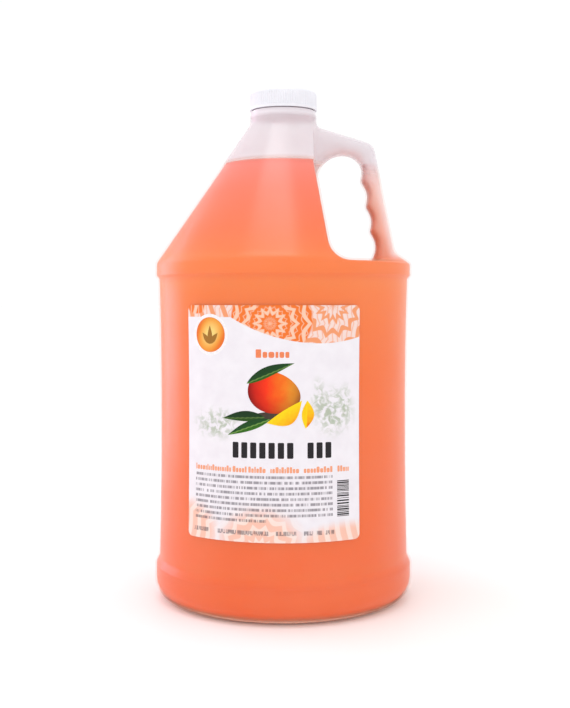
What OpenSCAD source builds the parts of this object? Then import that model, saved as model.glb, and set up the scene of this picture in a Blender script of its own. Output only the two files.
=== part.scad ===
// One-gallon round oil jug: blow-moulded bottle with a hollow pinch-through handle,
// 38 mm single-start screw cap with a loose foam liner, front label, and its oil fill.
// Millimetres, +Z up. The origin is the centre of the base, and the handle points along +X.

/* [Bottle] */
// Diameter over the two bumper rings
bottle_d = 153; // [148:0.5:158]
// Height of the sealing land, where the neck ends
land_z = 297.1; // [295:0.1:300]
// Wall of the blow-moulded shell
wall = 0.9; // [0.7:0.1:1.4]
// Radius of the heel between the base and the lower bumper
heel_r = 12; // [9:0.5:14]
// Rise of the dimple under the base
push_up = 6; // [3:0.5:9]

/* [Handle] */
// Width of the handle across the bottle's seam
handle_w = 24; // [21:0.5:28]
// Depth of each finger scallop
scallop_depth = 2.5; // [1:0.25:3]

/* [Cap] */
// Outside diameter over the ribs
cap_d = 40; // [39.8:0.1:41]
// Height of the cap
cap_h = 11.2; // [11:0.1:12]
// Number of grip ribs
cap_ribs = 90; // [60:2:120]

/* [Label] */
// Width of the label along the curve of the bottle
label_w = 101.6; // [80:0.1:110]
// Height of the label
label_h = 127; // [100:0.5:130]
// Corner radius of the label
label_corner_r = 3; // [1:0.5:6]
// Angle that the label's middle stands away from the handle, past the front of the bottle
label_turn = 5.4; // [0:0.2:8]

/* [Oil] */
// Height of the oil's surface above the base
fill_z = 255.8; // [200:0.1:258]

/* [Hidden] */

$fn = 96;
eps = 0.01;
far = 200;

// Body profile, as [radius, height] or as the lower and upper height of a band
bumper_r = bottle_d / 2;
waist_r = bumper_r - 2.85;
waist_z = 108;
panel_low = [bumper_r - 2, 27.4];
panel_high = [bumper_r - 1.65, 187];
dimple_r = 46;
base_rim_r = 55;
low_bumper_top = [20.4, 24.6];
high_bumper = [189.2, 197.6];
shoulder = [74.2, 200.5];
cone_top = [19.9, 279.6];
collar = [19.7, 285];
groove_r = 18.6;
groove = [286.2, 287];

// Neck finish: thread root, crest and pitch of a 38 mm single-start closure
finish_r = 17.45;
finish_z = 287.8;
crest_r = 18.65;
pitch = 4.233;
bore_r = 15.7;
bore_z = 283.1;
thread_turns = 1.05;
thread_low_z = land_z - 6.4;

// Pocket that leaves the handle free: a steep facet from under the collar to a filleted
// foot, and a level floor
facet = [[18.05, 279.6], [18, 258], [27.1, 198.1]];
pocket_fillet_r = 11;

// Handle, as its upper and lower outlines in the XZ plane: [x, z, corner radius].
// Each runs from inside the neck, round the web and the elbow, and out over the shoulder.
handle_outer = [[8, 281], [18, 279, 120], [53.9, 268.1, 6.5], [67.3, 203.6, 5],
                [74.2, 199.3, 3], [75, 193.5]];
handle_inner = [[14.5, 226], [24.2, 262, 15], [42.8, 261.2, 6.5], [52.6, 202.5, 3],
                [52.9, 198.5, 2], [52.6, 193.5]];
handle_steps = [2, 2, 26, 2, 2];
grip_x = 38;
handle_sides = 20;
handle_squareness = 0.75;
scallop_top_z = 253.1;
scallop_pitch = 14.9;
scallop_count = 4;

// Cap: outside shape, top wall and the gaps that let it turn
cap_z = 288.2;
cap_skirt_r = 18.95;
cap_top_wall = 1.3;
cap_edge_r = 1.8;
cap_bead_h = 1.8;
cap_rib_depth = 0.35;
cap_thread_r = 18.05;
cap_thread_turns = 1.2;
thread_mesh_drop = 1.5;
cap_thread_lead = 0.4;
face_gap = 0.02;
liner_r = 18.6;

// Label and oil sit just clear of the wall
label_t = 0.25;
label_gap = 0.03;
label_z = 45.3;
oil_gap = 0.15;

function unit(v) = v / norm(v);
function along(a, b, t) = a + (b - a) * t;

// A rounded corner at b between a and c, as points on its arc. b[2] is the radius.
function corner(a, b, c, steps = 6) =
    let (p = [b[0], b[1]], u = unit([a[0], a[1]] - p), v = unit([c[0], c[1]] - p),
         half = acos(max(-1, min(1, u * v))) / 2, r = b[2], mid = unit(u + v),
         centre = p + mid * r / sin(half), start = p + u * r / tan(half),
         finish = p + v * r / tan(half), turn = 180 - 2 * half,
         side = sign(cross(start - centre, finish - centre)),
         arm = start - centre)
    [for (i = [0:steps]) let (q = side * turn * i / steps)
        centre + [arm[0] * cos(q) - arm[1] * sin(q), arm[0] * sin(q) + arm[1] * cos(q)]];

// A path through corner points [x, z, radius], where radius 0 keeps the corner sharp
function rounded(path) =
    let (n = len(path))
    [for (i = [0:n - 1])
        let (b = path[i], a = path[(i + n - 1) % n], c = path[(i + 1) % n])
        each b[2] > 0 ? corner(a, b, c) : [[b[0], b[1]]]];

// Points along a path with rounded bends, and counts[i] steps along its straight leg i
function legs(path, counts) =
    let (n = len(path), bends = [for (i = [1:n - 2]) corner(path[i - 1], path[i], path[i + 1])])
    [for (i = [0:n - 2])
        let (start = i == 0 ? path[0] : bends[i - 1][len(bends[i - 1]) - 1],
             finish = i == n - 2 ? path[n - 1] : bends[i][0])
        each concat([for (k = [min(i, 1):counts[i] - 1]) along(start, finish, k / counts[i])],
                    i == n - 2 ? [finish] : bends[i])];

// How far a scallop cuts into the grip at x, z, with sharp ridges between round hollows
function scallop(x, z) =
    let (low = scallop_top_z - (scallop_count - 0.5) * scallop_pitch,
         high = scallop_top_z + 0.5 * scallop_pitch)
    x > grip_x && z > low && z < high
        ? scallop_depth * abs(cos(180 * (z - scallop_top_z) / scallop_pitch)) : 0;

// One section of the handle: a rounded oblong between its inner and outer outlines
function handle_ring(outer, inner, inset) =
    let (mid = (outer + inner) / 2, arm = (outer - inner) / 2, shrink = 1 - inset / norm(arm))
    [for (k = [0:handle_sides - 1])
        let (q = 360 * k / handle_sides, c = cos(q), s = sin(q),
             across = sign(c) * pow(abs(c), handle_squareness) * shrink,
             y = sign(s) * pow(abs(s), handle_squareness) * (handle_w / 2 - inset))
        [mid[0] + arm[0] * across, y, mid[1] + arm[1] * across]];

// Radius of the label panel, which is drawn in slightly at its waist
function panel_r(z) =
    let (end = z < waist_z ? panel_low : panel_high, t = (z - waist_z) / (end[1] - waist_z))
    waist_r + (end[0] - waist_r) * t * t;
function panel_points(low, high, steps) =
    [for (i = [0:steps]) let (z = along(low, high, i / steps)) [panel_r(z), z, 0]];

// Half section of the bottle's outside, from the axis round to the collar under the cap
body_path = concat(
    [[-far, push_up, 0], [dimple_r, push_up, 4], [base_rim_r, 0, 3], [bumper_r, 0, heel_r],
     [bumper_r, low_bumper_top[0], 3], [panel_low[0], low_bumper_top[1], 3]],
    panel_points(panel_low[1], panel_high[1], 8),
    [[bumper_r, high_bumper[0], 1.2], [bumper_r, high_bumper[1], 4.5],
     [shoulder[0], shoulder[1], 4], [cone_top[0], cone_top[1], 1.5], [collar[0], collar[1], 0.8],
     [groove_r, groove[0], 0], [groove_r, groove[1], 0], [finish_r, finish_z, 0],
     [finish_r, land_z, 0], [-far, land_z, 0]]);

module body_section(inset) {
    intersection() {
        offset(delta = -inset) polygon(rounded(body_path));
        square([far, inset > 0 ? bore_z : land_z]);
    }
}

// What the pocket takes away, seen along Y. spread moves its faces into the bottle.
module pocket_section(spread) {
    offset(delta = spread)
        polygon(rounded([[far, facet[0][1], 0], [facet[0][0], facet[0][1], 0],
                         [facet[1][0], facet[1][1], 0],
                         [facet[2][0], facet[2][1], pocket_fillet_r], [far, facet[2][1], 0]]));
}

module through_y(length) {
    rotate([90, 0, 0]) linear_extrude(height = length, center = true) children();
}

module body(inset) {
    difference() {
        rotate_extrude() body_section(inset);
        through_y(far) pocket_section(inset);
    }
}

// A closed solid through a list of rings. Seen along the sweep, the rings run clockwise,
// or anticlockwise if flip is true.
module swept(rings, flip = false) {
    n = len(rings[0]);
    last = (len(rings) - 1) * n;
    sides = [for (i = [0:len(rings) - 2], k = [0:n - 1])
        let (a = i * n + k, b = i * n + (k + 1) % n)
        each [[a, b + n, a + n], [a, b, b + n]]];
    ends = [[for (k = [n - 1:-1:0]) k], [for (k = [0:n - 1]) last + k]];
    polyhedron([for (ring = rings) each ring],
               [for (face = concat(sides, ends))
                   flip ? [for (i = [len(face) - 1:-1:0]) face[i]] : face]);
}

module handle(inset) {
    outer = legs(handle_outer, handle_steps);
    inner = [for (p = legs(handle_inner, handle_steps)) [p[0] + scallop(p[0], p[1]), p[1]]];
    swept([for (i = [0:len(outer) - 1]) handle_ring(outer[i], inner[i], inset)]);
}

module shell_space(inset) {
    body(inset);
    handle(inset);
}

// A right-hand thread that tapers in and out at its ends. root_r is where it is buried in
// its wall, and tip_r is its crest.
module thread(root_r, tip_r, low_z, turns, root_half, tip_half, start) {
    steps = ceil(turns * 48);
    fade = 5;
    swept([for (i = [0:steps])
               let (share = min(1, (0.6 + min(i, steps - i)) / fade),
                    a = start + 360 * turns * i / steps, z = low_z + pitch * turns * i / steps,
                    tip = root_r + (tip_r - root_r) * share, half = 0.4 + 0.6 * share)
               [for (p = [[root_r, -root_half], [tip, -tip_half], [tip, tip_half], [root_r, root_half]])
                   [p[0] * cos(a), p[0] * sin(a), z + p[1] * half]]],
          tip_r < root_r);
}

module jug() {
    color([0.95, 0.93, 0.95, 0.5])
    difference() {
        union() {
            shell_space(0);
            thread(finish_r - 0.3, crest_r, thread_low_z, thread_turns, 1.4, 0.5, 90);
        }
        shell_space(wall);
        translate([0, 0, bore_z - 1]) cylinder(r = bore_r, h = land_z);
    }
}

module cap_outline() {
    top_r = cap_d / 2;
    polygon([for (i = [0:4 * cap_ribs - 1])
        let (r = top_r - (i % 4 < 2 ? 0 : cap_rib_depth), a = 90 * i / cap_ribs)
        r * [cos(a), sin(a)]]);
}

module screw_cap() {
    crown_z = cap_z + cap_h;
    shoulder_r = cap_d / 2 - cap_rib_depth;
    color([0.96, 0.96, 0.98]) {
        difference() {
            union() {
                translate([0, 0, cap_z]) cylinder(r = cap_d / 2 + 0.1, h = cap_bead_h);
                translate([0, 0, cap_z + 1])
                    linear_extrude(height = cap_h - 1 - cap_edge_r) cap_outline();
                rotate_extrude()
                    polygon(rounded([[0, cap_z + 1, 0], [shoulder_r, cap_z + 1, 0],
                                     [shoulder_r, crown_z, cap_edge_r], [0, crown_z, 0]]));
            }
            translate([0, 0, cap_z - eps])
                cylinder(r = cap_skirt_r, h = cap_h - cap_top_wall + eps);
        }
        thread(cap_skirt_r + 0.3, cap_thread_r, thread_low_z - thread_mesh_drop + cap_thread_lead,
               cap_thread_turns, 1.15, 0.4, 90 + 360 * cap_thread_lead / pitch);
    }
}

module cap_liner() {
    color([0.97, 0.96, 0.92])
    translate([0, 0, land_z + face_gap])
        cylinder(r = liner_r, h = cap_z + cap_h - cap_top_wall - land_z - 2 * face_gap);
}

module label_front_view() {
    half_w = panel_r(label_z) * sin(label_w / 2 / panel_r(label_z) * 180 / PI) - label_corner_r;
    half_h = label_h / 2 - label_corner_r;
    translate([0, label_z + label_h / 2]) {
        square([2 * half_w, label_h], center = true);
        square([2 * (half_w + label_corner_r), 2 * half_h], center = true);
        for (x = [-half_w, half_w], y = [-half_h, half_h]) translate([x, y]) circle(label_corner_r);
    }
}

module front_label() {
    inner = [for (p = panel_points(panel_low[1], panel_high[1], 8)) [p[0] + label_gap, p[1]]];
    outer = [for (i = [len(inner) - 1:-1:0]) inner[i] + [label_t, 0]];
    color([0.95, 0.96, 0.97])
    rotate([0, 0, -label_turn]) intersection() {
        rotate([0, 0, -150]) rotate_extrude(angle = 120) polygon(concat(inner, outer));
        translate([0, -far / 2, 0]) through_y(far) label_front_view();
    }
}

module massage_oil() {
    color([0.98, 0.45, 0.18])
    intersection() {
        shell_space(wall + oil_gap);
        cylinder(r = far, h = fill_z);
    }
}

jug();
screw_cap();
cap_liner();
front_label();
massage_oil();
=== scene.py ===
"""The looks of a one-gallon oil jug: a blow-moulded shell with a pinch-through handle, its oil,
a ribbed screw cap with its liner, and a printed front label."""

import math
import random

import bmesh
import bpy
from mathutils import Matrix, Vector


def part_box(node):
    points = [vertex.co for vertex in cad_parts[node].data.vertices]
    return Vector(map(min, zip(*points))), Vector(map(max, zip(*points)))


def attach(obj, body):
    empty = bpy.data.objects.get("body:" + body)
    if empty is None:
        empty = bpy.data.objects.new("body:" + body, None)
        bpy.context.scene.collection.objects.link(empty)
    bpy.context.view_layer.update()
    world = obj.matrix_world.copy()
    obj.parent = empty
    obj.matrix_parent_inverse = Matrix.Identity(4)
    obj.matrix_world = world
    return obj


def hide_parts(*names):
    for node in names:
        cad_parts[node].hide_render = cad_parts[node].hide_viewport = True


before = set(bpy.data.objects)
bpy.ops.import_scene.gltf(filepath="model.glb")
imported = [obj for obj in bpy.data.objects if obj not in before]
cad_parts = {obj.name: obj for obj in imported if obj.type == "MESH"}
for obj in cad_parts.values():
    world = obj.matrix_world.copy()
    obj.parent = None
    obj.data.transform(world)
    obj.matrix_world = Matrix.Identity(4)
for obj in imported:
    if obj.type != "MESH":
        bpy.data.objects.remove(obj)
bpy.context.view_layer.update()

MM = 0.001
rng = random.Random(7)

# Places that the CAD parts give
jug_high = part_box("jug")[1]
BUMPER_R = jug_high.x
LAND_Z = jug_high.z
FILL_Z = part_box("massage_oil")[1].z
LABEL_FOOT_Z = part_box("front_label")[0].z

# The jug's wall, and how far inside the skin the oil stands
WALL = 0.9 * MM
OIL_INSET = 1.15 * MM
SPIN_STEPS = 160
REMESH_SIZE = 1.4 * MM
SOFTEN_PASSES = 9

# Heights where the sculpted shoulder meets the turned body and the turned neck, the gap that
# each join closes, and the radius of the collar at the neck
SHOULDER_CUT_Z = 193.4 * MM
NECK_CUT_Z = 283.6 * MM
SEAM = 0.5 * MM
COLLAR_R = 19.75 * MM

# How much brighter than its own paint an upright surface looks in the studio
STUDIO_GAIN = 1.08

# The label panel: its radius at the waist, and how it grows towards its ends
WAIST_R = BUMPER_R - 2.85 * MM
WAIST_Z = 108 * MM
PANEL_LOW = (BUMPER_R - 2.0 * MM, 27.4 * MM)
PANEL_HIGH = (BUMPER_R - 1.65 * MM, 187 * MM)

# The printed sheet, in millimetres: u runs along the curve from its middle, v up from its foot.
# Its middle is turned a little away from the handle.
LABEL_W = 101.6
LABEL_TALL = 127.0
LABEL_CORNER = 3.0
LABEL_TURN = math.radians(5.4)
PRINT_R = WAIST_R + 0.35 * MM
SHEET_LIFT = 0.06 * MM
SHEET_T = 0.10 * MM
INK_LIFT = 0.02 * MM
STRIP_W = 2.5
STRIP_H = 8.0


# ---------------------------------------------------------------- camera

CAMERA_DISTANCE = 0.670
CAMERA_HEIGHT = 0.1751
SENSOR = 36.0
LENS = 56.8
SHIFT_X, SHIFT_Y = 0.0024, -0.0763


def add_camera():
    """A level camera square to the handle, with the bottle low in its frame."""
    bpy.ops.object.camera_add(location=(0, -CAMERA_DISTANCE, CAMERA_HEIGHT),
                              rotation=(math.radians(90), 0, 0))
    camera = bpy.context.object
    camera.data.sensor_width = SENSOR
    camera.data.lens = LENS
    camera.data.shift_x = SHIFT_X
    camera.data.shift_y = SHIFT_Y
    camera.data.clip_start = 0.01
    bpy.context.scene.camera = camera


# ---------------------------------------------------------------- modelling helpers


def deselect():
    if bpy.context.object and bpy.context.object.mode != "OBJECT":
        bpy.ops.object.mode_set(mode="OBJECT")
    bpy.ops.object.select_all(action="DESELECT")


def pick(piece):
    """Makes one piece the only selected and active one."""
    deselect()
    piece.select_set(True)
    bpy.context.view_layer.objects.active = piece
    return piece


def edit(piece, mode="VERT"):
    pick(piece)
    bpy.ops.object.mode_set(mode="EDIT")
    bpy.ops.mesh.select_mode(type=mode)


def leave():
    bpy.ops.object.mode_set(mode="OBJECT")


def apply_modifiers(piece):
    pick(piece)
    for modifier in list(piece.modifiers):
        bpy.ops.object.modifier_apply(modifier=modifier.name)


def settle(piece):
    """Puts the object's place, turn and size into its mesh."""
    pick(piece)
    bpy.ops.object.transform_apply(location=True, rotation=True, scale=True)
    return piece


def new_piece(name, verts, edges=(), faces=()):
    mesh = bpy.data.meshes.new(name)
    mesh.from_pydata([tuple(v) for v in verts], list(edges), list(faces))
    piece = bpy.data.objects.new(name, mesh)
    bpy.context.collection.objects.link(piece)
    return piece


def join(pieces, name):
    deselect()
    for piece in pieces:
        piece.select_set(True)
    bpy.context.view_layer.objects.active = pieces[0]
    bpy.ops.object.join()
    whole = bpy.context.object
    whole.name = whole.data.name = name
    return whole


def copy_of(piece, name):
    twin = piece.copy()
    twin.data = piece.data.copy()
    twin.name = twin.data.name = name
    bpy.context.collection.objects.link(twin)
    return twin


def tidy_faces(piece, distance=0.01 * MM):
    """Merges doubled vertices and turns every face outwards."""
    edit(piece)
    bpy.ops.mesh.select_all(action="SELECT")
    bpy.ops.mesh.remove_doubles(threshold=distance)
    bpy.ops.mesh.normals_make_consistent(inside=False)
    leave()


def smooth(piece, degrees=35):
    pick(piece)
    bpy.ops.object.shade_smooth_by_angle(angle=math.radians(degrees))


def finish_piece(piece, body, slot, material, *nodes, inside=None):
    """Gives a piece its finish, its body and the CAD nodes that it stands for. Its inner faces
    may have a finish of their own."""
    while len(piece.data.materials) < (2 if inside else 1):
        piece.data.materials.append(None)
    piece.data.materials[0] = material
    if inside:
        piece.data.materials[1] = inside
    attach(piece, body)
    if nodes:
        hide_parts(*nodes)
    return piece


# ---------------------------------------------------------------- outlines


def rounded(path, steps=6):
    """Points of a path whose corners (x, z, radius) are rounded, all in millimetres."""
    points = []
    for i, (x, z, radius) in enumerate(path):
        here = Vector((x, z))
        if radius == 0 or i in (0, len(path) - 1):
            points.append(here)
            continue
        u = (Vector(path[i - 1][:2]) - here).normalized()
        v = (Vector(path[i + 1][:2]) - here).normalized()
        half = u.angle(v) / 2
        reach = radius / math.tan(half)
        centre = here + (u + v).normalized() * (radius / math.sin(half))
        start, end = here + u * reach - centre, here + v * reach - centre
        turn = start.angle_signed(end)
        for k in range(steps + 1):
            arm = start.copy()
            arm.rotate(Matrix.Rotation(-turn * k / steps, 2))
            points.append(centre + arm)
    return points


def panel_r(z):
    """The label panel's radius at one height: least at its waist."""
    end_r, end_z = PANEL_LOW if z < WAIST_Z else PANEL_HIGH
    t = (z - WAIST_Z) / (end_z - WAIST_Z)
    return WAIST_R + (end_r - WAIST_R) * t * t


def body_outline():
    """Half section of the jug's outside, from the middle of the base up to the neck."""
    r = BUMPER_R / MM
    foot = [(0, 6, 0), (46, 6, 4), (r - 21.5, 0, 3), (r, 0, 12), (r, 20.4, 3), (r - 2, 24.6, 3)]
    neck_r, lip_r = 17.45, 17.05
    foot_z, top_z, steps = 27.4, 187, 12
    heights = [foot_z + (top_z - foot_z) * i / steps for i in range(steps + 1)]
    panel = [(panel_r(z * MM) / MM, z, 0) for z in heights]
    shoulder = [(r, 189.2, 1.2), (r, 197.6, 4.5), (74.2, 200.5, 4), (19.9, 279.6, 1.5),
                (COLLAR_R / MM, 285, 0.8), (19.4, 286, 0.3), (19.3, 287.6, 0.2), (neck_r, 287.9, 0),
                (neck_r, 296.7, 0), (lip_r, LAND_Z / MM, 0)]
    return [p * MM for p in rounded(foot + panel + shoulder)]


def spin_outline(name, points):
    """Turns a half section (radius, height) once round the axis."""
    piece = new_piece(name, [(p.x, 0, p.y) for p in points],
                      [(i, i + 1) for i in range(len(points) - 1)])
    edit(piece)
    bpy.ops.mesh.select_all(action="SELECT")
    bpy.ops.mesh.spin(steps=SPIN_STEPS, angle=2 * math.pi, center=(0, 0, 0), axis=(0, 0, 1))
    leave()
    tidy_faces(piece)
    return piece


# ---------------------------------------------------------------- jug

# The handle's two edges in millimetres, as (x, z, corner radius), and the steps along each leg
HANDLE_OUTER = [(8, 281, 0), (18, 279, 120), (53.9, 268.1, 7), (67.3, 203.6, 5),
                (74.2, 199.3, 3), (75, 193, 0)]
HANDLE_INNER = [(14.5, 226, 0), (24.2, 262, 15), (42.8, 261.2, 6.5), (52.6, 202.5, 3),
                (52.9, 198.5, 2), (52.6, 193, 0)]
HANDLE_LEGS = (3, 4, 44, 3, 3)
HANDLE_SIDES = 32
HANDLE_HALF_W = 11.2
HANDLE_SQUARENESS = 0.8

# The grip's outer edge leans: it stands at x = HANDLE_EDGE_X - HANDLE_LEAN * z
HANDLE_LEAN = 0.208
HANDLE_EDGE_X = (53.9 + 268.1 * HANDLE_LEAN) * MM

# The finger scallops, on the part of the inner edge past GRIP_X
GRIP_X = 38
SCALLOP_TOP_Z = 253.1
SCALLOP_PITCH = 14.9
SCALLOP_DEPTH = 2.6
SCALLOP_COUNT = 4


def legs(path, counts, steps=8):
    """Points along a path with rounded bends, with counts[i] steps along its straight leg i."""
    ends = rounded(path, steps)
    bends = [ends[1 + i * (steps + 1):1 + (i + 1) * (steps + 1)] for i in range(len(path) - 2)]
    points = []
    for i, count in enumerate(counts):
        start = ends[0] if i == 0 else bends[i - 1][-1]
        finish = ends[-1] if i == len(counts) - 1 else bends[i][0]
        points += [start.lerp(finish, k / count) for k in range(min(i, 1), count)]
        points += bends[i] if i < len(bends) else [finish]
    return points


def scallop(p):
    """How far a finger scallop cuts into the grip at p: round hollows between sharp ridges."""
    low = SCALLOP_TOP_Z - (SCALLOP_COUNT - 0.5) * SCALLOP_PITCH
    high = SCALLOP_TOP_Z + 0.5 * SCALLOP_PITCH
    if p.x < GRIP_X or not low < p.y < high:
        return 0.0
    return SCALLOP_DEPTH * abs(math.cos(math.pi * (p.y - SCALLOP_TOP_Z) / SCALLOP_PITCH))


def rounded_power(value, power):
    """A power that keeps the sign, which squares up an oval section when it is under 1."""
    return math.copysign(abs(value) ** power, value)


def add_handle():
    """The handle as one closed loft, from inside the neck to inside the shoulder."""
    outer = legs(HANDLE_OUTER, HANDLE_LEGS)
    inner = [p + Vector((scallop(p), 0)) for p in legs(HANDLE_INNER, HANDLE_LEGS)]
    verts, faces = [], []
    for a, b in zip(outer, inner):
        mid, arm = (a + b) / 2, (a - b) / 2
        for k in range(HANDLE_SIDES):
            q = 2 * math.pi * k / HANDLE_SIDES
            p = mid + arm * rounded_power(math.cos(q), HANDLE_SQUARENESS)
            across = HANDLE_HALF_W * rounded_power(math.sin(q), HANDLE_SQUARENESS)
            verts.append(Vector((p.x, across, p.y)) * MM)
    for i in range(len(outer) - 1):
        for k in range(HANDLE_SIDES):
            a, b = i * HANDLE_SIDES + k, i * HANDLE_SIDES + (k + 1) % HANDLE_SIDES
            faces.append((a, b, b + HANDLE_SIDES, a + HANDLE_SIDES))
    last = (len(outer) - 1) * HANDLE_SIDES
    faces += [tuple(range(HANDLE_SIDES)), tuple(range(last, last + HANDLE_SIDES))]
    handle = new_piece("handle_loft", verts, (), faces)
    tidy_faces(handle)
    return handle


def add_pocket_cutter():
    """The block that the mould pinches out of the cone: a steep facet, a round foot and a floor."""
    reach, floor_z, top_z = 120, 198.1, 279.6
    outline = rounded([(reach, top_z, 0), (18.05, top_z, 0), (18, 258, 20), (27.1, floor_z, 11),
                       (reach, floor_z, 0)], 8)
    verts = [Vector((p.x, -reach, p.y)) * MM for p in outline]
    cutter = new_piece("pocket_cutter", verts, (), [tuple(range(len(outline)))])
    edit(cutter, "FACE")
    bpy.ops.mesh.select_all(action="SELECT")
    bpy.ops.mesh.extrude_region_move(TRANSFORM_OT_translate={"value": (0, 2 * reach * MM, 0)})
    leave()
    tidy_faces(cutter)
    return cutter


def cut(piece, tool, operation):
    """One boolean, after which the tool is gone."""
    modifier = piece.modifiers.new("cut", "BOOLEAN")
    modifier.object = tool
    modifier.operation = operation
    modifier.solver = "EXACT"
    apply_modifiers(piece)
    bpy.data.objects.remove(tool, do_unlink=True)


def keep_between(piece, low, high):
    """Cuts a piece by two level planes and keeps what lies between them, open at both cuts."""
    edit(piece)
    for z, lower in ((low, True), (high, False)):
        bpy.ops.mesh.select_all(action="SELECT")
        bpy.ops.mesh.bisect(plane_co=(0, 0, z), plane_no=(0, 0, 1), threshold=0.001 * MM,
                            clear_inner=lower, clear_outer=not lower)
    leave()


def open_ring(mesh, z, tolerance=0.02 * MM):
    """The open vertices at one height, in order round the axis."""
    ring = {v for e in mesh.edges if len(e.link_faces) == 1 for v in e.verts
            if abs(v.co.z - z) < tolerance}
    return sorted(ring, key=lambda v: math.atan2(v.co.y, v.co.x))


def turn_of(ring, n):
    """How far round the axis the ring's n-th vertex lies, counting on past a full turn."""
    vert = ring[n % len(ring)]
    return math.atan2(vert.co.y, vert.co.x) + 2 * math.pi * (n // len(ring))


def close_seam(piece, low, high):
    """Zips the open rings at two heights together, a triangle at a time."""
    mesh = bmesh.new()
    mesh.from_mesh(piece.data)
    below, above = open_ring(mesh, low), open_ring(mesh, high)
    i = k = 0
    while i < len(below) or k < len(above):
        a, b = below[i % len(below)], above[k % len(above)]
        if k >= len(above) or (i < len(below) and turn_of(below, i + 1) <= turn_of(above, k + 1)):
            i += 1
            mesh.faces.new((a, below[i % len(below)], b))
        else:
            k += 1
            mesh.faces.new((a, above[k % len(above)], b))
    mesh.to_mesh(piece.data)
    mesh.free()


def add_shoulder(outline):
    """The cone, pocket and handle as one skin, with the soft edges that blow moulding leaves."""
    low, high = 150 * MM, 290 * MM
    sides = [p for p in outline if low < p.y < NECK_CUT_Z]
    section = [Vector((0, low)), Vector((panel_r(low), low)), *sides,
               Vector((COLLAR_R, high)), Vector((0, high))]
    shoulder = spin_outline("shoulder", section)
    cut(shoulder, add_pocket_cutter(), "DIFFERENCE")
    cut(shoulder, add_handle(), "UNION")
    remesh = shoulder.modifiers.new("skin", "REMESH")
    remesh.mode = "VOXEL"
    remesh.voxel_size = REMESH_SIZE
    remesh.use_smooth_shade = True
    soften = shoulder.modifiers.new("soften", "SMOOTH")
    soften.factor = 0.5
    soften.iterations = SOFTEN_PASSES
    apply_modifiers(shoulder)
    keep_between(shoulder, SHOULDER_CUT_Z, NECK_CUT_Z)
    true_up(shoulder, SHOULDER_CUT_Z, BUMPER_R)
    true_up(shoulder, NECK_CUT_Z, COLLAR_R)
    return shoulder


def true_up(piece, z, radius, reach=4 * MM):
    """Brings a sculpted skin onto the turned radius near a cut, so that the two parts meet."""
    for vert in piece.data.vertices:
        away = abs(vert.co.z - z)
        arm = Vector((vert.co.x, vert.co.y))
        if away < reach and abs(arm.length - radius) < MM:
            share = 1 - (away / reach) ** 2
            arm *= 1 + share * (radius / arm.length - 1)
            vert.co.x, vert.co.y = arm


def add_skin():
    """The jug's whole outer surface, open only at the mouth."""
    outline = body_outline()
    shoulder = add_shoulder(outline)
    low_end, high_end = SHOULDER_CUT_Z - SEAM, NECK_CUT_Z + SEAM
    below = [p for p in outline if p.y < low_end] + [Vector((BUMPER_R, low_end))]
    above = [Vector((COLLAR_R, high_end))] + [p for p in outline if p.y > high_end]
    below, above = spin_outline("below", below), spin_outline("above", above)
    top_of_below = max(v.co.z for v in below.data.vertices)
    foot_of_above = min(v.co.z for v in above.data.vertices)
    skin = join([below, shoulder, above], "jug_shell")
    close_seam(skin, top_of_below, SHOULDER_CUT_Z)
    close_seam(skin, NECK_CUT_Z, foot_of_above)
    tidy_faces(skin, 0.002 * MM)
    return skin


def add_jug(skin):
    """The shell gets its wall, measured inwards. The inner faces take the second material."""
    jug = copy_of(skin, "jug_body")
    wall = jug.modifiers.new("wall", "SOLIDIFY")
    wall.thickness = WALL
    wall.offset = -1
    wall.use_even_offset = False
    wall.use_flip_normals = False
    wall.material_offset = 1
    jug.data.materials.append(None)
    jug.data.materials.append(None)
    apply_modifiers(jug)
    smooth(jug, 40)
    return jug


# The neck's thread, in millimetres: it starts a drop below the land and fades in over a few steps
THREAD_ROOT_R, THREAD_DEPTH = 17.2, 1.45
THREAD_PITCH, THREAD_TURNS, THREAD_STEPS = 4.233, 1.05, 72
THREAD_DROP = 6.4
THREAD_FADE_STEPS = 6


def add_neck_thread():
    """One turn of the closure thread, tapering in and out of the neck."""
    verts, faces = [], []
    for i in range(THREAD_STEPS + 1):
        share = min(1, (0.4 + min(i, THREAD_STEPS - i)) / THREAD_FADE_STEPS)
        angle = 2 * math.pi * THREAD_TURNS * i / THREAD_STEPS + math.pi / 2
        z = LAND_Z / MM - THREAD_DROP + THREAD_PITCH * THREAD_TURNS * i / THREAD_STEPS
        tip = THREAD_ROOT_R + THREAD_DEPTH * share
        section = ((THREAD_ROOT_R, -1.35), (tip - 0.25, -0.75), (tip, -0.35), (tip, 0.35),
                   (tip - 0.25, 0.75), (THREAD_ROOT_R, 1.35))
        for r, dz in section:
            verts.append(Vector((r * math.cos(angle), r * math.sin(angle),
                                 z + dz * (0.4 + 0.6 * share))) * MM)
    sides, last = len(section), len(verts) - len(section)
    for i in range(THREAD_STEPS):
        for k in range(sides):
            a, b = sides * i + k, sides * i + (k + 1) % sides
            faces.append((a, b, b + sides, a + sides))
    faces += [tuple(range(sides)), tuple(range(last, last + sides))]
    thread = new_piece("neck_thread", verts, (), faces)
    tidy_faces(thread)
    smooth(thread, 30)
    return thread


def add_oil(skin):
    """The oil: the skin drawn in by its inset, and cut flat at the fill level."""
    oil = copy_of(skin, "oil_fill")
    edit(oil)
    bpy.ops.mesh.select_all(action="SELECT")
    bpy.ops.transform.shrink_fatten(value=-OIL_INSET)
    bpy.ops.mesh.select_all(action="SELECT")
    bpy.ops.mesh.bisect(plane_co=(0, 0, FILL_Z), plane_no=(0, 0, 1), use_fill=True,
                        clear_outer=True)
    leave()
    tidy_faces(oil, 0.002 * MM)
    smooth(oil, 50)
    return oil


# ---------------------------------------------------------------- materials


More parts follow.
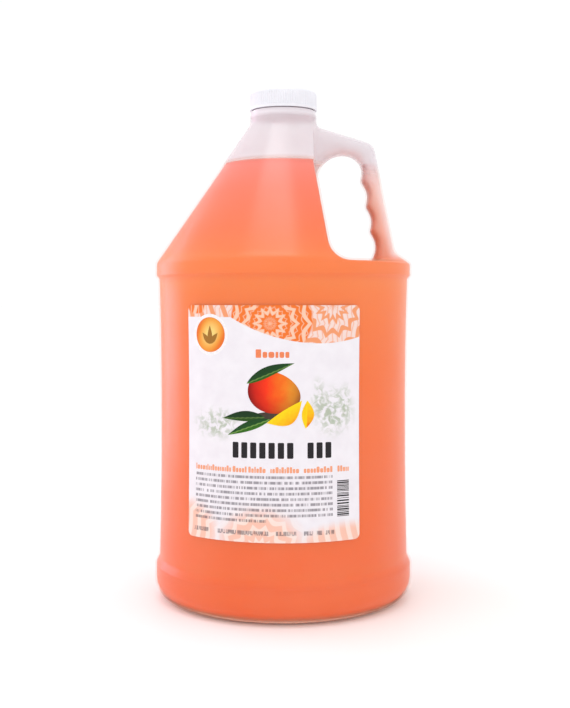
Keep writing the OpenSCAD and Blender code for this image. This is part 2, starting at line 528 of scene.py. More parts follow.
class Finish:
    """A node material on the Principled shader, built a node at a time."""

    def __init__(self, name, **values):
        self.material = bpy.data.materials.new(name)
        self.material.use_nodes = True
        self.tree = self.material.node_tree
        self.shader = self.tree.nodes["Principled BSDF"]
        for socket, value in values.items():
            self.shader.inputs[socket.replace("_", " ")].default_value = value

    def node(self, kind, **settings):
        """Adds a node. A setting is a node property, or an input by name or number."""
        made = self.tree.nodes.new("ShaderNode" + kind)
        for key, value in settings.items():
            if hasattr(made, key):
                setattr(made, key, value)
            else:
                self.feed(made, key, value)
        return made

    def feed(self, node, key, value):
        """Sets or links one input, named as i0, i1 and so on or by its label."""
        label = int(key[1:]) if key[1:].isdigit() else key.replace("_", " ")
        socket = node.inputs[label]
        if hasattr(value, "is_output"):
            self.tree.links.new(value, socket)
        else:
            socket.default_value = value

    def place(self):
        """Where a point lies in the object's own space."""
        return self.node("TexCoord").outputs["Object"]

    def axis(self, name):
        split = self.node("SeparateXYZ", i0=self.place())
        return split.outputs[name]

    def ramp(self, fac, stops):
        """Colours by a value, from (position, colour) stops."""
        ramp = self.node("ValToRGB", i0=fac)
        elements = ramp.color_ramp.elements
        while len(elements) < len(stops):
            elements.new(0.5)
        for element, (position, color) in zip(elements, stops):
            element.position = position
            element.color = color if len(color) == 4 else (*color, 1)
        return ramp.outputs["Color"]

    def span(self, value, low, high, out_low=0.0, out_high=1.0):
        """A smooth step between two values of the input."""
        made = self.node("MapRange", i0=value, i1=low, i2=high, i3=out_low, i4=out_high)
        made.interpolation_type = "SMOOTHSTEP"
        return made.outputs[0]

    def math(self, operation, a, b=0.0):
        return self.node("Math", operation=operation, i0=a, i1=b).outputs[0]

    def noise(self, scale, detail=3.0, vector=None):
        return self.node("TexNoise", Vector=vector or self.place(), Scale=scale,
                         Detail=detail).outputs[0]

    def print_place(self):
        """Where a point lies on the flat print, in millimetres: along the curve, and up."""
        split = self.node("SeparateXYZ", i0=self.node("UVMap", uv_map="print").outputs[0])
        u = self.math("MULTIPLY", self.math("SUBTRACT", split.outputs[0], 0.5), LABEL_W)
        return u, self.math("MULTIPLY", split.outputs[1], LABEL_TALL)

    def oval(self, u, v, centre, half):
        """How far out a point lies in an oval: 0 in its middle and 1 on its rim."""
        a = self.math("DIVIDE", self.math("SUBTRACT", u, centre[0]), half[0])
        b = self.math("DIVIDE", self.math("SUBTRACT", v, centre[1]), half[1])
        return self.math("SQRT", self.math("ADD", self.math("MULTIPLY", a, a),
                                           self.math("MULTIPLY", b, b)))

    def lace(self, u, v, centre, petals, ring):
        """A rosette of scalloped rings, from -1 between the lines to 1 on them."""
        du, dv = self.math("SUBTRACT", u, centre[0]), self.math("SUBTRACT", v, centre[1])
        angle = self.math("ARCTAN2", dv, du)
        petal = self.math("ABSOLUTE", self.math("SINE", self.math("MULTIPLY", angle, petals / 2)))
        turns = self.math("DIVIDE", self.oval(u, v, centre, (1.0, 1.0)), ring)
        wave = self.math("ADD", turns, self.math("MULTIPLY", petal, 0.42))
        return self.math("SINE", self.math("MULTIPLY", wave, 2 * math.pi))

    def tint(self, color, by):
        """One colour multiplied by another."""
        made = self.node("Mix", data_type="RGBA", blend_type="MULTIPLY")
        for number, value in ((0, 1.0), (6, color), (7, by)):
            self.feed(made, "i%d" % number, value)
        return made.outputs[2]

    def mix(self, fac, a, b):
        """From colour a at 0 to colour b at 1."""
        made = self.node("Mix", data_type="RGBA")
        for number, value in ((0, fac), (6, a), (7, b)):
            if isinstance(value, tuple):
                value = (*value[:3], 1)
            self.feed(made, "i%d" % number, value)
        return made.outputs[2]

    def bump(self, height, distance, strength=1.0):
        made = self.node("Bump", Height=height, Distance=distance, Strength=strength)
        self.link(made.outputs[0], "Normal")

    def link(self, output, socket):
        self.tree.links.new(output, self.shader.inputs[socket])


def paint(r, g, b):
    """A screen colour of 0 to 255 as the linear one that shaders take."""
    def linear(c):
        c /= 255
        return c / 12.92 if c <= 0.04045 else ((c + 0.055) / 1.055) ** 2.4
    return (linear(r), linear(g), linear(b))


def shade(r, g, b):
    """The paint that looks like this screen colour in the studio's light."""
    return tuple(c / STUDIO_GAIN for c in paint(r, g, b))


# How opaque the milky wall is at the heel and at the neck, and how much it wavers
HEEL_MILK, NECK_MILK, CLOUD_MILK = 0.55, 0.9, 0.04


def natural_hdpe(name, low_milk, high_milk, gloss):
    """Milky polyethylene: a veil over what is inside, with the faint orange peel of a blown wall.
    Where oil wets the wall it clears and takes on some of the oil's colour. The heel and the neck
    are milkier."""
    f = Finish(name, Roughness=0.22, IOR=1.5, Specular_IOR_Level=gloss)
    cloud = f.noise(28, 4)
    dry = f.ramp(cloud, [(0.3, paint(236, 227, 233)), (0.7, paint(243, 236, 241))])
    wet = f.ramp(cloud, [(0.3, paint(248, 170, 132)), (0.7, paint(252, 186, 150))])
    z = f.axis("Z")
    # the wall clears over a few millimetres round the body, and slowly in the slim handle
    clear = f.span(f.axis("X"), 26 * MM, 34 * MM, FILL_Z - 2 * MM, FILL_Z - 16 * MM)
    f.link(f.mix(f.span(z, FILL_Z + 3 * MM, clear), dry, wet), "Base Color")
    milk = f.span(z, clear, FILL_Z + 3 * MM, low_milk, high_milk)
    heel = f.span(z, 7 * MM, 1 * MM, 0, HEEL_MILK)
    neck = f.span(z, 280 * MM, 286 * MM, 0, NECK_MILK)
    milk = f.math("MAXIMUM", f.math("MAXIMUM", milk, heel), neck)
    milk = f.math("ADD", milk, f.math("MULTIPLY", f.math("SUBTRACT", cloud, 0.5), CLOUD_MILK))
    f.link(milk, "Alpha")
    peel = f.math("ADD", f.noise(420, 2), f.math("MULTIPLY", f.noise(70, 3), 1.6))
    f.bump(peel, 0.04 * MM)
    return f.material


# Painted light and shade at the two bumper rings, tinting the oil behind them: painted highlights
# along the rings' edges and painted shade just beside them. Height in millimetres and tone
EVEN, RING_SHADE, RING_HIGHLIGHT = (1, 1, 1), (0.96, 0.88, 0.82), (1.0, 1.1, 1.22)
RING_LIGHT_AND_SHADE = ((16, EVEN), (20.5, RING_SHADE), (24, EVEN), (26.5, RING_HIGHLIGHT), (31, EVEN), (178, EVEN),
              (185, RING_HIGHLIGHT), (188.5, RING_SHADE), (191.5, EVEN), (196.5, EVEN), (199.5, RING_HIGHLIGHT), (203, EVEN))


def orange_oil():
    """Oil behind a clear wall, whose shine it carries: deep orange in the body, pinker towards its
    surface, and pale where it is thin in the handle and its web. Painted highlights and painted
    shade mark the bumper rings."""
    f = Finish("orange_oil", Roughness=0.31, IOR=1.47, Specular_IOR_Level=0.5)
    x, z = f.axis("X"), f.axis("Z")
    level = f.node("MapRange", i0=z, i1=0.0, i2=FILL_Z).outputs[0]
    body = f.ramp(level, [(0.0, paint(238, 90, 14)), (0.14, paint(240, 92, 8)),
                          (0.5, paint(245, 106, 18)), (0.7, paint(248, 120, 34)),
                          (0.76, paint(249, 122, 46)), (0.84, paint(248, 110, 60)),
                          (0.93, paint(245, 112, 86)), (1.0, paint(243, 126, 118))])
    swirl = f.ramp(f.noise(9, 2), [(0.35, (0.97, 0.95, 0.95)), (0.65, (1.0, 1.03, 1.04))])
    grip = f.math("MULTIPLY", f.span(x, 30 * MM, 40 * MM), f.span(z, 196 * MM, 203 * MM))
    # the web past the pocket's facet, by the handle's top, fading out beyond the handle's width
    facet = f.math("SUBTRACT", x, f.span(z, 258 * MM, 198 * MM, 17.6 * MM, 26.6 * MM))
    across = f.math("ABSOLUTE", f.axis("Y"))
    web = f.math("MULTIPLY", f.span(facet, -1 * MM, 0.4 * MM), f.span(z, 240 * MM, 247 * MM))
    web = f.math("MULTIPLY", web, f.span(across, 18 * MM, 13 * MM))
    core = f.ramp(level, [(0.79, paint(252, 184, 162)), (0.9, paint(246, 200, 188)),
                          (0.95, paint(242, 210, 204)), (1.0, paint(242, 228, 232))])
    # painted highlight: the oil is painted paler along the handle's outer edge, standing in for the
    # pale stripe of light there
    lean = f.math("MULTIPLY", z, HANDLE_LEAN)
    outer = f.math("SUBTRACT", x, f.math("SUBTRACT", HANDLE_EDGE_X, lean))
    rim = f.span(outer, -7 * MM, -2 * MM, 0, 0.75)
    pale = f.mix(f.math("MAXIMUM", rim, web), core, paint(246, 228, 232))
    # painted highlights and painted shade at the bumper rings, laid over the oil's colour
    rings = f.ramp(level, [(height * MM / FILL_Z, tone) for height, tone in RING_LIGHT_AND_SHADE])
    body = f.tint(f.tint(body, swirl), rings)
    f.link(f.mix(f.math("MAXIMUM", grip, web), body, pale), "Base Color")
    return f.material


def cap_plastic():
    """White polypropylene with a fine satin texture."""
    f = Finish("cap_plastic", Roughness=0.38, IOR=1.49)
    tone = f.ramp(f.noise(160, 3), [(0.3, paint(234, 234, 240)), (0.7, paint(240, 240, 246))])
    f.link(tone, "Base Color")
    f.link(f.span(f.noise(900, 2), 0.3, 0.7, 0.34, 0.44), "Roughness")
    f.bump(f.noise(1600, 2), 0.02 * MM)
    return f.material


def liner_foam():
    """Fine-celled white foam."""
    f = Finish("liner_foam", Roughness=0.85)
    cells = f.node("TexVoronoi", Vector=f.place(), Scale=1800.0).outputs["Distance"]
    f.link(f.ramp(cells, [(0.0, shade(214, 210, 202)), (0.5, shade(243, 240, 233))]), "Base Color")
    f.bump(cells, 0.06 * MM)
    return f.material


def ink_finish(name, color):
    """Printing ink under the label's satin film, a little uneven."""
    f = Finish(name, Roughness=0.42, Specular_IOR_Level=0.2)
    u, v = f.print_place()
    speck = f.noise(0.8, 3, f.node("CombineXYZ", i0=u, i1=v).outputs[0])
    dark, light = tuple(c * 0.93 for c in color), tuple(min(1, c * 1.05) for c in color)
    f.link(f.ramp(speck, [(0.35, dark), (0.65, light)]), "Base Color")
    return f.material


def seal_ink():
    """Gold in the middle, deep orange at the rim, with a slanting sheen."""
    f = Finish("seal_ink", Roughness=0.38, Specular_IOR_Level=0.3)
    u, v = f.print_place()
    ring = f.oval(u, v, SEAL_AT, (SEAL_R, SEAL_R))
    slant = f.math("ADD", f.math("MULTIPLY", u, 0.11), f.math("MULTIPLY", v, 0.22))
    sheen = f.math("MULTIPLY", f.math("SINE", slant), 0.16)
    f.link(f.ramp(f.math("ADD", ring, sheen),
                  [(0.0, shade(252, 232, 150)), (0.45, shade(251, 214, 122)),
                   (0.8, shade(247, 164, 60)), (1.0, shade(240, 118, 34))]), "Base Color")
    return f.material


def fruit_ink():
    """Red on the left, gold on the right, dark under its belly and lit from above."""
    f = Finish("fruit_ink", Roughness=0.42, Specular_IOR_Level=0.2)
    u, v = f.print_place()
    blush = f.noise(0.16, 3, f.node("CombineXYZ", i0=u, i1=v).outputs[0])
    across = f.math("ADD", f.node("MapRange", i0=u, i1=-12.5, i2=16.5).outputs[0],
                    f.math("MULTIPLY", f.math("SUBTRACT", blush, 0.5), 0.3))
    skin = f.ramp(across, [(0.0, paint(226, 20, 16)), (0.35, paint(244, 52, 14)),
                           (0.62, paint(240, 104, 20)), (0.85, paint(240, 152, 40)),
                           (1.0, paint(226, 146, 52))])
    under = f.oval(u, v, (3, 84), (15.5, 17.5))
    shadow = f.ramp(under, [(0.35, (1, 1, 1)), (0.75, (0.72, 0.66, 0.66)), (1.0, (0.3, 0.2, 0.2))])
    f.link(f.tint(skin, shadow), "Base Color")
    return f.material


def leaf_ink(name, start, end, lightness):
    """Green with a pale midrib from the leaf's foot to its tip."""
    f = Finish(name, Roughness=0.42, Specular_IOR_Level=0.2)
    u, v = f.print_place()
    slope = (end[1] - start[1]) / (end[0] - start[0])
    rib = f.math("SUBTRACT", f.math("SUBTRACT", v, start[1]),
                 f.math("MULTIPLY", f.math("SUBTRACT", u, start[0]), slope))
    side = f.node("MapRange", i0=rib, i1=-3.0, i2=3.0).outputs[0]
    veins = f.math("MULTIPLY", f.math("SINE", f.math("MULTIPLY", f.math("ADD", u, rib), 2.2)), 0.02)
    k = lightness
    green = f.ramp(f.math("ADD", side, veins),
                   [(0.0, paint(66 * k, 124 * k, 24 * k)), (0.42, paint(44 * k, 96 * k, 22 * k)),
                    (0.5, paint(120 * k, 160 * k, 76 * k)), (0.58, paint(26 * k, 76 * k, 28 * k)),
                    (1.0, paint(24 * k, 68 * k, 26 * k))])
    f.link(green, "Base Color")
    return f.material


def slice_ink(name, low, high):
    """Ripe flesh: yellow, turning orange towards the skin."""
    f = Finish(name, Roughness=0.42, Specular_IOR_Level=0.2)
    u, v = f.print_place()
    along = f.math("ADD", f.node("MapRange", i0=u, i1=low[0], i2=high[0]).outputs[0],
                   f.node("MapRange", i0=v, i1=high[1], i2=low[1]).outputs[0])
    fibre = f.noise(0.5, 3, f.node("CombineXYZ", i0=u, i1=v).outputs[0])
    depth = f.math("ADD", f.math("MULTIPLY", along, 0.5),
                   f.math("MULTIPLY", f.math("SUBTRACT", fibre, 0.5), 0.25))
    f.link(f.ramp(depth, [(0.1, paint(246, 196, 8)), (0.5, paint(248, 214, 16)),
                          (0.8, paint(246, 176, 10)), (1.0, paint(228, 96, 10))]), "Base Color")
    return f.material


# The small print's rows of flecks, in millimetres, and the runs of flecks along the label's foot
ROW_FOOT, ROW_PITCH, ROW_COUNT = 10.4, 2.92, 9
ROW_LEFT, ROW_RIGHT, LAST_ROW_RIGHT = -45.2, 34.2, -2.2
FLECK_W = 0.54
FLECK_SHARE = 0.87
FOOT_RUNS = ((-46, -36), (-30, -1), (3, 14), (18, 23), (25, 28), (30, 35))


def small_print(f, u, v):
    """Rows of dark flecks with gaps, which stand for small print and spell nothing."""
    rows = f.math("DIVIDE", f.math("SUBTRACT", v, ROW_FOOT), ROW_PITCH)
    row, within = f.math("FLOOR", rows), f.math("FRACT", rows)
    cell = f.math("FLOOR", f.math("DIVIDE", u, FLECK_W))
    fleck = f.node("TexWhiteNoise", Vector=f.node("CombineXYZ", i0=cell, i1=row).outputs[0])
    gap = f.node("TexWhiteNoise", Vector=f.node("CombineXYZ", i0=cell, i1=row, i2=7.0).outputs[0])
    height = f.math("MULTIPLY", f.span(within, 0.08, 0.2), f.span(within, 0.7, 0.58))
    ink = f.math("MULTIPLY", f.span(fleck.outputs[0], 0.1, 0.6, 0.4, 1.0),
                 f.math("LESS_THAN", gap.outputs[0], FLECK_SHARE))
    width = f.math("MULTIPLY", f.math("GREATER_THAN", u, ROW_LEFT), f.math("LESS_THAN", u, ROW_RIGHT))
    last = f.math("MULTIPLY", f.math("LESS_THAN", row, 0.5),
                  f.math("GREATER_THAN", u, LAST_ROW_RIGHT))
    inside = f.math("MULTIPLY", f.math("GREATER_THAN", row, -0.5),
                    f.math("LESS_THAN", row, ROW_COUNT - 0.5))
    body = f.math("MULTIPLY", f.math("MULTIPLY", height, ink),
                  f.math("MULTIPLY", f.math("MULTIPLY", width, inside),
                         f.math("SUBTRACT", 1.0, last)))
    foot = f.math("MULTIPLY", f.span(v, 3.7, 4.1), f.span(v, 6.4, 5.9))
    spans = 0.0
    for left, right in FOOT_RUNS:
        spans = f.math("ADD", spans, f.math("MULTIPLY", f.math("GREATER_THAN", u, left),
                                            f.math("LESS_THAN", u, right)))
    return f.math("MAXIMUM", body, f.math("MULTIPLY", f.math("MULTIPLY", foot, ink), spans))


# The label's soft art, in millimetres: ovals are (middle, half size), and foliage has a strength
FOLIAGE = (((35, 70), (14, 15), 0.9), ((-31, 63), (17, 10), 0.8), ((26, 78), (5, 12), 0.6),
           ((42, 76), (4, 11), 0.5))
PEACH_OVALS = (((-6, -4), (27, 24)), ((-52, 4), (24, 18)), ((44, -2), (32, 13)))
SWOOSH_LOW_U, SWOOSH_LOW_V, SWOOSH_TOP_V, SWOOSH_RISE = 27.0, 106.6, 120.6, 0.0058
ROSETTE_AT, SIDE_ROSETTE_AT = (-0.1, 117.2), (34, 127)
DEEP_OVAL, DEEP_PATCH = ((0.5, 119.5), (22.5, 20)), ((-44, 126), (6.5, 3.6))
PRINT_DARKNESS = 0.68


def label_film():
    """The sheet's print: a lace band over a swoosh, pale foliage, a peach foot and small print."""
    f = Finish("label_film", Roughness=0.4, Specular_IOR_Level=0.25)
    u, v = f.print_place()
    flat = f.node("CombineXYZ", i0=u, i1=v).outputs[0]
    white = f.ramp(f.noise(0.12, 2, flat), [(0.3, shade(242, 237, 243)), (0.7, shade(248, 244, 249))])

    # pale grey-green foliage on both sides of the fruit
    twigs = f.node("TexNoise", Vector=flat, Scale=0.3, Detail=6.0, Distortion=0.7).outputs[0]
    color = white
    for centre, half, strength in FOLIAGE:
        spread = f.span(f.oval(u, v, centre, half), 1.1, 0.3, 0, strength)
        leafy = f.math("MULTIPLY", spread, f.span(twigs, 0.4, 0.62))
        color = f.mix(leafy, color, shade(176, 188, 164))

    # the peach foot, with the same lace showing faintly
    foot_lace = f.lace(u, v, (-6, -6), 14, 6.5)
    left, middle, right = (f.oval(u, v, *place) for place in PEACH_OVALS)
    foot_edge = f.math("MINIMUM", f.math("MINIMUM", left, middle), right)
    foot = f.span(foot_edge, 1.1, 0.6, 0, 1.0)
    peach = f.mix(f.span(foot_lace, -0.1, 0.5), shade(252, 200, 180), shade(254, 228, 216))
    color = f.mix(foot, color, peach)

    # the lace band: an orange rosette and a paler one beside it
    away = f.math("ABSOLUTE", f.math("SUBTRACT", u, SWOOSH_LOW_U))
    rise = f.math("MULTIPLY", f.math("POWER", away, 2.0), SWOOSH_RISE)
    edge = f.math("MINIMUM", f.math("ADD", rise, SWOOSH_LOW_V), SWOOSH_TOP_V)
    band = f.span(f.math("SUBTRACT", v, edge), -0.12, 0.12)
    rosette, side = f.lace(u, v, ROSETTE_AT, 12, 6.6), f.lace(u, v, SIDE_ROSETTE_AT, 14, 7.4)
    dots = f.lace(u, v, ROSETTE_AT, 24, 2.9)
    lace = f.math("MAXIMUM", f.span(rosette, 0.35, 0.6), f.span(dots, 0.72, 0.9, 0, 0.75))
    deep = f.mix(lace, shade(248, 122, 44), shade(253, 206, 178))
    pale = f.mix(f.math("MAXIMUM", f.span(side, 0.1, 0.5), f.span(dots, 0.6, 0.9, 0, 0.6)),
                 shade(250, 222, 214), shade(248, 160, 112))
    disc = f.span(f.oval(u, v, *DEEP_OVAL), 1.02, 0.96)
    patch = f.span(f.oval(u, v, *DEEP_PATCH), 1.1, 0.9)
    pattern = f.mix(f.math("MAXIMUM", disc, patch), pale, deep)
    color = f.mix(band, color, pattern)

    color = f.mix(f.math("MULTIPLY", small_print(f, u, v), PRINT_DARKNESS), color, shade(84, 76, 86))
    f.link(color, "Base Color")
    f.bump(f.noise(2200, 2), 0.008 * MM)
    return f.material


# ---------------------------------------------------------------- printed label


def oval_outline(centre, half, steps=48):
    return [(centre[0] + half[0] * math.cos(2 * math.pi * k / steps),
             centre[1] + half[1] * math.sin(2 * math.pi * k / steps)) for k in range(steps)]


def block_outline(left, low, right, high):
    return [(left, low), (right, low), (right, high), (left, high)]


def round_block(left, low, right, high, radius, steps=6):
    """A rectangle with round corners."""
    outline = []
    for cu, cv, turn in ((right - radius, low + radius, -90), (right - radius, high - radius, 0),
                         (left + radius, high - radius, 90), (left + radius, low + radius, 180)):
        for k in range(steps + 1):
            q = math.radians(turn + 90 * k / steps)
            outline.append((cu + radius * math.cos(q), cv + radius * math.sin(q)))
    return outline


def facing_out(outline):
    """The outline run anticlockwise, so that its face looks away from the jug."""
    area = sum(a[0] * b[1] - b[0] * a[1] for a, b in zip(outline, outline[1:] + outline[:1]))
    return list(outline) if area > 0 else list(outline)[::-1]


def flat_print(name, outlines):
    """Flat shapes in the plane of the print, as one mesh."""
    verts, faces = [], []
    for outline in outlines:
        faces.append(tuple(range(len(verts), len(verts) + len(outline))))
        verts += [(p[0] * MM, 0, p[1] * MM) for p in facing_out(list(outline))]
    piece = new_piece(name, verts, (), faces)
    edit(piece, "FACE")
    bpy.ops.mesh.select_all(action="SELECT")
    bpy.ops.mesh.quads_convert_to_tris(ngon_method="BEAUTY")
    leave()
    return piece


def cut_into_strips(piece, axis, step):
    """Level or upright cuts right across a flat print, so that it can bend."""
    across = [v.co[axis] for v in piece.data.vertices]
    normal = [0, 0, 0]
    normal[axis] = 1
    edit(piece)
    for k in range(math.ceil(min(across) / step), math.floor(max(across) / step) + 1):
        point = [0, 0, 0]
        point[axis] = k * step
        bpy.ops.mesh.select_all(action="SELECT")
        bpy.ops.mesh.bisect(plane_co=point, plane_no=normal)
    leave()


def wrap_print(piece, lift):
    """Bends a flat print round the panel at a small lift, and keeps its flat place as a UV map."""
    cut_into_strips(piece, 0, STRIP_W * MM)
    cut_into_strips(piece, 2, STRIP_H * MM)
    place = piece.data.uv_layers.new(name="print")
    for loop in piece.data.loops:
        flat = piece.data.vertices[loop.vertex_index].co / MM
        place.data[loop.index].uv = (flat.x / LABEL_W + 0.5, flat.z / LABEL_TALL)
    for vert in piece.data.vertices:
        z = LABEL_FOOT_Z + vert.co.z
        radius, angle = panel_r(z) + lift, vert.co.x / PRINT_R - LABEL_TURN
        vert.co = (radius * math.sin(angle), -radius * math.cos(angle), z)
    return piece


def add_sheet():
    """The label's film: a round-cornered sheet with a real edge."""
    outline = round_block(-LABEL_W / 2, 0, LABEL_W / 2, LABEL_TALL, LABEL_CORNER)
    sheet = wrap_print(flat_print("label_sheet", [outline]), SHEET_LIFT)
    edge = sheet.modifiers.new("edge", "SOLIDIFY")
    edge.thickness = SHEET_T
    edge.offset = 1
    apply_modifiers(sheet)
    smooth(sheet, 30)
    return finish_piece(sheet, "bottle", "label_film", label_film(), "front_label")


def add_ink(name, outlines, material, level=1):
    """Printed shapes on the sheet. A higher level lies over a lower one."""
    ink = wrap_print(flat_print(name, outlines), SHEET_LIFT + SHEET_T + level * INK_LIFT)
    smooth(ink, 30)
    return finish_piece(ink, "bottle", "label_film", material)


# A plain round seal, and fruit with leaves and slices, in millimetres on the print. Leaves are
# (foot, tip) and slices are (lower tip, upper tip).
SEAL_AT, SEAL_R, SEAL_BORDER = (-35, 111), 9.5, 1.8
FRUIT_AT, FRUIT_HALF, FRUIT_TILT = (2, 80), (14.5, 11), 165
TOP_LEAF = ((-13, 85), (13, 96))
LEFT_LEAF = ((-3, 67), (-27, 66))
LOW_LEAF = ((0, 66), (-24, 57))
LONG_SLICE = ((-2, 64), (17, 76))
SHORT_SLICE = ((19, 61), (20, 76))

# The headline's plain blocks, as the left end and the number in each group
HEADLINE = ((-21, 7), (20, 3))
HEADLINE_FOOT, HEADLINE_TOP = 45, 53.5
HEADLINE_PITCH = 5
WORD_BLOCK = (-7.9, 98.9, -4.9, 103.4)

# The strapline's groups of small blocks, as their left and right ends
STRAP = ((-45, -22), (-21, -13), (-12, -2), (0, 16), (18, 35), (37, 44))
STRAP_FOOT = 37.3

# The bar code's place: left, foot, right and top
BAR_LEFT, BAR_FOOT, BAR_RIGHT, BAR_TOP = 36.8, 13.2, 44.0, 32.6


def leaf_outline(foot, tip, half_w, bow=0.0, steps=14):
    """A pointed leaf from its foot to its tip, whose rib may bow to one side."""
    foot, along = Vector(foot), Vector(tip) - Vector(foot)
    side = Vector((-along.y, along.x)).normalized()
    left, right = [], []
    for i in range(steps + 1):
        t = i / steps
        rib = foot + along * t + side * bow * math.sin(math.pi * t)
        reach = side * half_w * math.sin(math.pi * t ** 0.8)
        left.append(rib + reach)
        right.append(rib - reach)
    return right + left[-2:0:-1]


def fruit_outline(steps=48):
    """An egg-shaped fruit that is blunt at its stem end."""
    outline = []
    for k in range(steps):
        q = 2 * math.pi * k / steps
        narrow = 1 + 0.1 * math.cos(q)
        point = Vector((FRUIT_HALF[0] * math.cos(q), FRUIT_HALF[1] * narrow * math.sin(q)))
        point.rotate(Matrix.Rotation(math.radians(FRUIT_TILT), 2))
        outline.append(Vector(FRUIT_AT) + point)
    return outline


def slice_outline(start, end, bulge, hollow, steps=14):
    """A wedge of flesh between two tips: its skin side bulges and its cut side hardly does."""
    start, along = Vector(start), Vector(end) - Vector(start)
    side = Vector((along.y, -along.x)).normalized()
    skin = [start + along * i / steps + side * bulge * math.sin(math.pi * i / steps)
            for i in range(steps + 1)]
    cut_side = [start + along * i / steps + side * hollow * math.sin(math.pi * i / steps)
                for i in range(steps + 1)]
    return skin + cut_side[-2:0:-1]


def headline_blocks():
    """Plain upright blocks where the bold headline stands, which spell nothing."""
    outlines = []
    for left, count in HEADLINE:
        for i in range(count):
            u = left + i * HEADLINE_PITCH
            outlines.append(round_block(u, HEADLINE_FOOT, u + 0.68 * HEADLINE_PITCH,
                                        HEADLINE_TOP, 0.6))
    return outlines


def small_blocks(left, right, foot, tall, pitch):
    """A run of short round-cornered blocks of uneven width and height, which spell nothing."""
    outlines, u = [], left
    while u < right - 0.4 * pitch:
        width = min(pitch * rng.choice((0.45, 0.75, 0.75, 0.95)), right - u)
        top = foot + tall * rng.choice((1.0, 1.0, 1.0, 1.4))
        outlines.append(round_block(u, foot, u + width, top, 0.3 * width, 3))
        u += width + 0.2 * pitch
    return outlines


def bar_code_bars():
    """Plain bars and gaps, stacked upwards, which encode nothing."""
    outlines, v = [], BAR_FOOT
    while v < BAR_TOP:
        thick = rng.choice((0.35, 0.35, 0.55, 0.8))
        outlines.append(block_outline(BAR_LEFT, v, BAR_RIGHT, v + thick))
        v += thick + rng.choice((0.3, 0.3, 0.45, 0.7))
    return outlines


def add_label_art():
    """Everything that is printed with a firm edge."""
    black = ink_finish("black_ink", shade(38, 34, 38))
    orange = ink_finish("orange_ink", shade(246, 138, 92))
    rim = SEAL_R + SEAL_BORDER
    add_ink("seal_border", [oval_outline(SEAL_AT, (rim, rim))],
            ink_finish("white_ink", shade(252, 248, 250)))
    add_ink("seal", [oval_outline(SEAL_AT, (SEAL_R, SEAL_R))], seal_ink(), 2)
    foot = (SEAL_AT[0], SEAL_AT[1] - 5)
    sprig = [leaf_outline(foot, (foot[0] + across, foot[1] + up), 1.5)
             for across, up in ((-5, 6), (0, 10), (5, 6))]
    add_ink("seal_sprig", sprig, ink_finish("bronze_ink", shade(168, 116, 44)), 3)

    add_ink("fruit_shadow", [oval_outline((1, 67.5), (10, 2.5))],
            ink_finish("shadow_ink", shade(72, 60, 50)))
    add_ink("left_leaf", [leaf_outline(*LEFT_LEAF, 2.8, -1)],
            leaf_ink("left_leaf_ink", *LEFT_LEAF, 0.75), 2)
    add_ink("low_leaf", [leaf_outline(*LOW_LEAF, 2.6, -0.6)],
            leaf_ink("low_leaf_ink", *LOW_LEAF, 1.0), 3)
    add_ink("fruit", [fruit_outline()], fruit_ink(), 2)
    add_ink("top_leaf", [leaf_outline(*TOP_LEAF, 2.8, 1.4)],
            leaf_ink("top_leaf_ink", *TOP_LEAF, 0.9), 3)
    add_ink("long_slice", [slice_outline(*LONG_SLICE, 7.5, -0.8)],
            slice_ink("long_slice_ink", *LONG_SLICE), 4)
    add_ink("short_slice", [slice_outline(*SHORT_SLICE, 4.2, -2.6)],
            slice_ink("short_slice_ink", *SHORT_SLICE), 4)

    add_ink("word_blocks", [round_block(*WORD_BLOCK, 0.4)]
            + small_blocks(-4.1, 10.2, 98.9, 3.2, 3.3), orange)
    add_ink("headline_blocks", headline_blocks(), black)
    strap = [small_blocks(left, right, STRAP_FOOT, 2.3, 1.75) for left, right in STRAP]
    add_ink("strapline_blocks", sum(strap, []),
            ink_finish("pale_orange_ink", shade(250, 168, 130)))
    add_ink("bar_code", bar_code_bars(), black)


# ---------------------------------------------------------------- stage


def paper():
    """White paper that glows a little, so that it stays pale round the jug's foot."""
    f = Finish("paper_sweep", Roughness=0.6, Emission_Strength=0.04, Emission_Color=(1, 1, 1, 1))
    f.link(f.ramp(f.noise(3, 2), [(0.3, (0.975, 0.975, 0.975)), (0.7, (0.985, 0.985, 0.985))]),
           "Base Color")
    return f.material


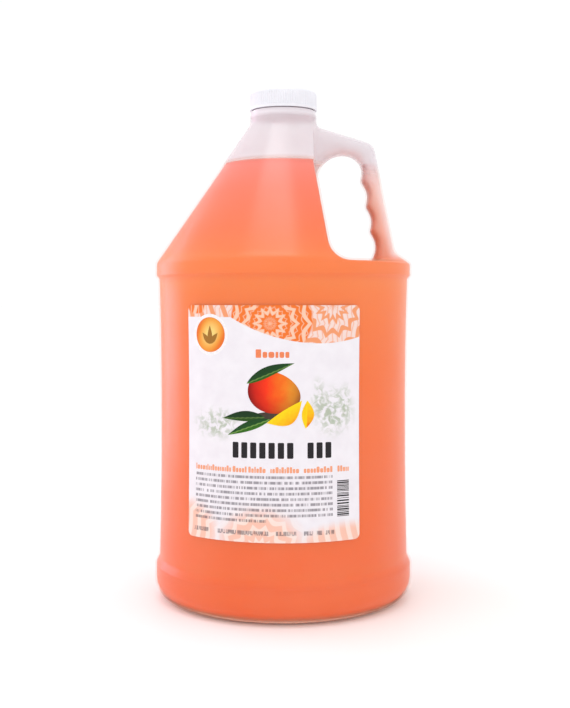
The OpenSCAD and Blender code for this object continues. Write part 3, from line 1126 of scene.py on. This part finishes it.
def add_stage():
    """A pale floor that runs out of sight."""
    bpy.ops.mesh.primitive_plane_add(size=60)
    floor = bpy.context.object
    floor.name = "floor"
    settle(floor)
    floor.data.materials.append(paper())


def area_light(name, location, target, size, power, color=(1, 1, 1)):
    bpy.ops.object.light_add(type="AREA", location=location)
    light = bpy.context.object
    light.name = name
    light.data.shape = "RECTANGLE"
    light.data.size, light.data.size_y = size
    light.data.energy = power
    light.data.color = color
    aim = Vector(target) - Vector(location)
    light.rotation_euler = aim.to_track_quat("-Z", "Y").to_euler()


def add_lights():
    """An even white studio, with a soft light behind each edge of the jug and a strip overhead."""
    world = bpy.data.worlds.new("studio")
    bpy.context.scene.world = world
    world.use_nodes = True
    studio = world.node_tree.nodes["Background"]
    studio.inputs["Color"].default_value = (1, 1, 1, 1)
    studio.inputs["Strength"].default_value = 1.02
    area_light("left_rim", (-0.76, 0.46, 0.2), (0, 0, 0.15), (0.5, 1.0), 3.2, (1, 0.66, 0.95))
    area_light("right_rim", (0.62, 0.85, 0.25), (0, 0, 0.15), (0.06, 0.9), 0.12)
    area_light("top_strip", (-0.1, -0.25, 1.1), (0, 0, 0.15), (0.5, 0.12), 1.4)
    view = bpy.context.scene.view_settings
    view.view_transform = "Standard"
    view.look = "None"
    view.exposure = 0.0


# ---------------------------------------------------------------- assembly


def main():
    """Sets the stage, builds the jug, its oil and its label, and finishes the cap and liner."""
    add_camera()
    add_stage()
    add_lights()

    skin = add_skin()
    wall_finish = natural_hdpe("natural_hdpe", low_milk=0.12, high_milk=0.5, gloss=0.5)
    inner_finish = natural_hdpe("natural_hdpe_inside", low_milk=0.03, high_milk=0.2, gloss=0.0)
    finish_piece(add_jug(skin), "bottle", "natural_hdpe", wall_finish, "jug", inside=inner_finish)
    finish_piece(add_neck_thread(), "bottle", "natural_hdpe", wall_finish)
    finish_piece(add_oil(skin), "bottle", "orange_oil", orange_oil(), "massage_oil")
    bpy.data.objects.remove(skin, do_unlink=True)
    add_sheet()
    add_label_art()

    for node, material in (("screw_cap", cap_plastic()), ("cap_liner", liner_foam())):
        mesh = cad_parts[node].data
        mesh.materials.clear()
        mesh.materials.append(material)


main()
